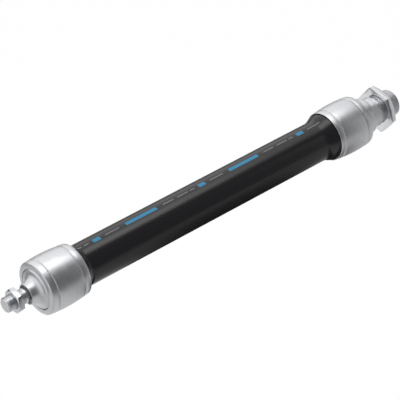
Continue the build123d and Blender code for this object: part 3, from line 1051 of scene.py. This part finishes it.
@dataclass
class PortEnd:
    """What only the port end has: hollow flange with hub, neck, mounting thread and port, and lock nut."""

    hub_end: float = 58.7
    shoulder: float = 73.0
    nut_back: float = 77.5
    nut_front: float = 85.5
    tip: float = 101.0
    radius: float = 15.0
    hub: float = 20.5
    neck: float = 16.8
    chamfer: float = 1.2  # at the end of the mounting thread
    port: Point = (14.0, 7.5)  # depth and radius of the air port
    passage: float = 5.5  # radius of the air's way into the hose

    def flange(self) -> bpy.types.Object:
        """Turn the flange, join it to the threaded rod and bore the air port.

        Returns:
            The flange.
        """
        end, shoulder, tip, hub, neck = self.hub_end, self.shoulder, self.tip, self.hub, self.neck
        foot, outside = end + 2.6, self.radius + 0.05
        rounding = arc((end, hub), (end + 1.838, 19.738), (foot, 17.9), 8)
        fillet = arc((foot, 17.9), (foot + 0.6, 17.13), (foot + 2.0, neck), 8)
        core = [
            (SPIGOT[0][0], 0.0), *SPIGOT, (48.1, hub), (end, hub), *rounding, *fillet,
            (shoulder - 0.3, neck), (shoulder, neck - 0.3), (shoulder, 12.5), (tip - 3.0, 12.5),
            (tip - 3.0, 0.0),
        ]
        rod = [
            (shoulder - 0.5, 0.0), (shoulder - 0.5, 14.8), (self.nut_back - 0.3, 14.8),
            (self.nut_back - 0.1, 14.5), (self.nut_front, 14.5), (self.nut_front + 0.1, outside),
            (tip - self.chamfer, outside), (tip, self.radius - self.chamfer), (tip, 0.0),
        ]
        depth, mouth = self.port
        bore = [
            (7.0, 0.0), (7.0, self.passage), (tip - depth, self.passage), (tip - depth, mouth),
            (tip - 1.0, mouth), (tip + 0.5, mouth + 1.5), (tip + 0.5, 0.0),
        ]
        thread = Thread(End.PORT.at(shoulder - 1.5), End.PORT.at(tip + 1.0), self.radius)
        piece = thread.build("port_flange_body", End.PORT.points(*rod))
        combine(piece, turn("port_core", End.PORT.points(*core), steps=180), "UNION")
        combine(piece, turn("port_bore", End.PORT.points(*bore), steps=96), "DIFFERENCE")
        finish_edges(piece, 0.0, 25.0)
        return piece

    def build(self, finishes: Finishes) -> None:
        """Build and dress the port end's own pieces.

        Args:
            finishes: the muscle's materials.
        """
        piece = self.flange()
        dress(piece, finishes.aluminium)
        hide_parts("port_flange")
        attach(piece, End.PORT.body)
        log.info("built %s", piece.name)
        LockNut(
            "port_nut", End.PORT, back=self.nut_back, front=self.nut_front - 0.1,
            flats=46.0, bore=14.56, turned=5.0, double=False,
        ).build(finishes)


@dataclass
class Studio:
    """Pale floor, two cards for the reflections, a room, a softbox overhead and the camera."""

    camera_place: tuple[float, float, float] = (-1.2671, -1.1695, 1.2033)
    right: tuple[float, float, float] = (0.7585, -0.6517, 0.0)
    up: tuple[float, float, float] = (0.4002, 0.4658, 0.7892)
    lens: float = 170.8
    # Angle in degrees round the muscle's axis and how bright the room is there; 0 is level towards
    # the back and 90 is straight up
    room: tuple[Point, ...] = (
        (-180, 0.11), (-170, 0.5), (-24, 0.5), (-20, 0.1), (-5, 0.1),
        (5, 1.1), (50, 1.0), (90, 0.82), (98, 0.11), (180, 0.11),
    )
    soft_level: float = 0.65  # what lights matte surfaces from all round
    floor_height: float = -0.6
    floor_middle: float = -0.25
    floor_size: Point = (5.0, 4.0)
    camera_share: float = 0.93  # how much of the floor is plain white to the camera
    fill_level: float = 0.58
    fill_outline: tuple[Point, ...] = ((0.19, -0.35), (0.8, -0.35), (0.8, 0.8), (0.42, 0.8))  # X and Z
    black_level: float = 0.02
    black_outline: tuple[Point, ...] = (  # X and Y
        (-0.07, 0.05), (-0.02, 0.35), (0.11, 0.62), (0.45, 0.62), (0.33, 0.3), (0.28, 0.0), (0.33, -0.3),
        (0.46, -0.64), (0.66, -1.0), (1.28, -2.0), (0.84, -2.0), (0.3, -1.0), (0.11, -0.64), (-0.02, -0.3),
    )
    softbox_place: tuple[float, float, float] = (-0.45, 0.24, 1.3)
    softbox_size: Point = (2.0, 0.62)
    softbox_power: float = 6.6

    def camera(self) -> None:
        """Place the camera at the photograph's view."""
        data = bpy.data.cameras.new("camera")
        data.lens = self.lens
        data.sensor_width = 36.0
        data.clip_end = 20.0
        camera = bpy.data.objects.new("camera", data)
        bpy.context.scene.collection.objects.link(camera)
        x = Vector(self.right).normalized()
        y = Vector(self.up)
        z = x.cross(y).normalized()
        y = z.cross(x)
        turned = Matrix((x, y, z)).transposed().to_4x4()
        camera.matrix_world = Matrix.Translation(self.camera_place) @ turned
        bpy.context.scene.camera = camera

    def world(self) -> None:
        """Soft light all round; glossy surfaces see a pale room with a dark side behind the camera."""
        world = bpy.data.worlds.new("studio")
        bpy.context.scene.world = world
        world.use_nodes = True
        tree = world.node_tree
        tree.nodes.clear()
        way = add_node(tree, "ShaderNodeTexCoord", {}, {}).outputs["Generated"]
        axes = add_node(tree, "ShaderNodeSeparateXYZ", {}, {"Vector": way})
        angle = add_node(
            tree, "ShaderNodeMath", {"operation": "ARCTAN2"}, {0: axes.outputs[2], 1: axes.outputs[1]}
        )
        part = add_node(
            tree, "ShaderNodeMapRange",
            {"From Min": -math.pi, "From Max": math.pi, "To Min": 0.0, "To Max": 1.0},
            {"Value": angle.outputs[0]},
        )
        ramp = add_node(tree, "ShaderNodeValToRGB", {}, {"Fac": part.outputs[0]})
        elements = ramp.color_ramp.elements
        while len(elements) < len(self.room):
            elements.new(0.5)
        for element, (degrees, level) in zip(elements, self.room):
            element.position = (degrees + 180) / 360
            element.color = (level, level, level, 1.0)
        # The room is light on the stud end's side and darker beyond the port end
        left = add_node(
            tree, "ShaderNodeMapRange",
            {"From Min": -0.72, "From Max": -0.88, "To Min": 0.0, "To Max": 1.0},
            {"Value": axes.outputs[0]},
        )
        right = add_node(
            tree, "ShaderNodeMapRange", {"From Min": 0.6, "From Max": 0.85, "To Min": 0.0, "To Max": 0.7},
            {"Value": axes.outputs[0]},
        )
        lighter = add_node(
            tree, "ShaderNodeMix", {"data_type": "RGBA", 7: (0.95, 0.95, 0.95, 1.0)},
            {0: left.outputs[0], 6: ramp.outputs[0]},
        )
        sides = add_node(
            tree, "ShaderNodeMix", {"data_type": "RGBA", 7: (0.15, 0.15, 0.15, 1.0)},
            {0: right.outputs[0], 6: lighter.outputs[2]},
        )
        rays = add_node(tree, "ShaderNodeLightPath", {}, {})
        soft = add_node(tree, "ShaderNodeBackground", {"Color": WHITE, "Strength": self.soft_level}, {})
        room = add_node(tree, "ShaderNodeBackground", {"Strength": 1.0}, {"Color": sides.outputs[2]})
        white = add_node(tree, "ShaderNodeBackground", {"Color": WHITE, "Strength": 1.0}, {})
        lit = add_node(
            tree, "ShaderNodeMixShader", {},
            {0: rays.outputs["Is Glossy Ray"], 1: soft.outputs[0], 2: room.outputs[0]},
        )
        seen = add_node(
            tree, "ShaderNodeMixShader", {},
            {0: rays.outputs["Is Camera Ray"], 1: lit.outputs[0], 2: white.outputs[0]},
        )
        add_node(tree, "ShaderNodeOutputWorld", {}, {"Surface": seen.outputs[0]})

    def floor(self) -> None:
        """Lay a plain pale floor well below the muscle, white to the camera."""
        bpy.ops.object.select_all(action="DESELECT")
        bpy.ops.mesh.primitive_grid_add(x_subdivisions=8, y_subdivisions=8, size=1.0)
        floor = bpy.context.active_object
        floor.name = floor.data.name = "floor"
        middle = Matrix.Translation((self.floor_middle, 0.0, self.floor_height))
        floor.data.transform(middle @ Matrix.Diagonal((*self.floor_size, 1.0, 1.0)))
        material, tree, shader = new_material("pale_studio_floor")
        shader.inputs["Base Color"].default_value = linear("F4F4F4")
        shader.inputs["Roughness"].default_value = 0.9
        white = add_node(tree, "ShaderNodeEmission", {"Color": WHITE, "Strength": 1.02}, {})
        rays = add_node(tree, "ShaderNodeLightPath", {}, {})
        share = add_node(
            tree, "ShaderNodeMath", {"operation": "MULTIPLY", 1: self.camera_share},
            {0: rays.outputs["Is Camera Ray"]},
        )
        both = add_node(
            tree, "ShaderNodeMixShader", {},
            {0: share.outputs[0], 1: shader.outputs[0], 2: white.outputs[0]},
        )
        # Metal shows a table that is mid grey in front and light behind, and ends 1.0 to 1.5 m behind
        place = add_node(tree, "ShaderNodeTexCoord", {}, {}).outputs["Object"]
        axes = add_node(tree, "ShaderNodeSeparateXYZ", {}, {"Vector": place})
        level = add_node(
            tree, "ShaderNodeMapRange", {"From Min": -0.05, "From Max": 0.4, "To Min": 0.68, "To Max": 0.9},
            {"Value": axes.outputs[1]},
        )
        left = add_node(
            tree, "ShaderNodeMapRange",
            {"From Min": -0.68, "From Max": -0.84, "To Min": 1.0, "To Max": 0.72},
            {"Value": axes.outputs[0]},
        )
        limit = add_node(
            tree, "ShaderNodeMapRange", {"From Min": -0.6, "From Max": 0.4, "To Min": 1.0, "To Max": 1.5},
            {"Value": axes.outputs[0]},
        )
        reach = add_node(
            tree, "ShaderNodeMath", {"operation": "DIVIDE"}, {0: axes.outputs[1], 1: limit.outputs[0]}
        )
        back = add_node(
            tree, "ShaderNodeMapRange", {"From Min": 0.95, "From Max": 1.08, "To Min": 1.0, "To Max": 0.1},
            {"Value": reach.outputs[0]},
        )
        for dimmer in (left, back):
            factors = {0: level.outputs[0], 1: dimmer.outputs[0]}
            level = add_node(tree, "ShaderNodeMath", {"operation": "MULTIPLY"}, factors)
        grey = add_node(tree, "ShaderNodeEmission", {"Color": WHITE}, {"Strength": level.outputs[0]})
        mirrored = add_node(
            tree, "ShaderNodeMixShader", {},
            {0: rays.outputs["Is Glossy Ray"], 1: both.outputs[0], 2: grey.outputs[0]},
        )
        # Seen from below, the floor is clear, so that the muscle's underside shows
        side = add_node(tree, "ShaderNodeNewGeometry", {}, {})
        clear = add_node(tree, "ShaderNodeBsdfTransparent", {}, {})
        one_sided = add_node(
            tree, "ShaderNodeMixShader", {},
            {0: side.outputs["Backfacing"], 1: mirrored.outputs[0], 2: clear.outputs[0]},
        )
        output = next(node for node in tree.nodes if node.type == "OUTPUT_MATERIAL")
        tree.links.new(one_sided.outputs[0], output.inputs["Surface"])
        floor.data.materials.append(material)

    def card(self, name: str, corners_at: list[tuple[float, float, float]], level: float) -> None:
        """Stand up a flat card that only reflections show.

        Args:
            name: name of the card.
            corners_at: its corners in metres, in order round it.
            level: how bright it looks, where 1 is white.
        """
        bpy.ops.object.select_all(action="DESELECT")
        bpy.ops.mesh.primitive_circle_add(vertices=len(corners_at), radius=1.0, fill_type="NGON")
        card = bpy.context.active_object
        card.name = card.data.name = name
        for vertex, place in zip(card.data.vertices, corners_at):
            vertex.co = place
        material, tree, _ = new_material(f"{name}_grey")
        grey = add_node(tree, "ShaderNodeEmission", {"Color": WHITE, "Strength": level}, {})
        output = next(node for node in tree.nodes if node.type == "OUTPUT_MATERIAL")
        tree.links.new(grey.outputs[0], output.inputs["Surface"])
        card.data.materials.append(material)
        card.visible_camera = card.visible_diffuse = card.visible_shadow = False

    def cards(self) -> None:
        """Stand a grey card before the port end's metal and lay a black one for the hose's underside."""
        self.card("fill_card", [(x, -0.5, z) for x, z in self.fill_outline], self.fill_level)
        low = self.floor_height + 0.002
        self.card("black_card", [(x, y, low) for x, y in self.black_outline], self.black_level)

    def lamps(self) -> None:
        """Hang the softbox over the muscle."""
        box = bpy.data.lights.new("softbox", "AREA")
        box.shape = "RECTANGLE"
        box.size, box.size_y = self.softbox_size
        box.energy = self.softbox_power
        lamp = bpy.data.objects.new("softbox", box)
        lamp.location = self.softbox_place
        bpy.context.scene.collection.objects.link(lamp)

    def build(self) -> None:
        """Build the whole studio."""
        self.camera()
        self.world()
        self.floor()
        self.cards()
        self.lamps()
        bpy.context.scene.view_settings.view_transform = "Standard"
        log.info("built the studio")


def main() -> None:
    """Build the muscle on its frame."""
    logging.basicConfig(level=logging.INFO, format="%(name)s: %(message)s")
    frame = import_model()
    finishes = Finishes()
    Hose().build(finishes)
    for end in End:
        Clamp(end).build(finishes, frame["nodes"])
    StudEnd().build(finishes)
    PortEnd().build(finishes)
    Studio().build()


if __name__ == "__main__":
    main()
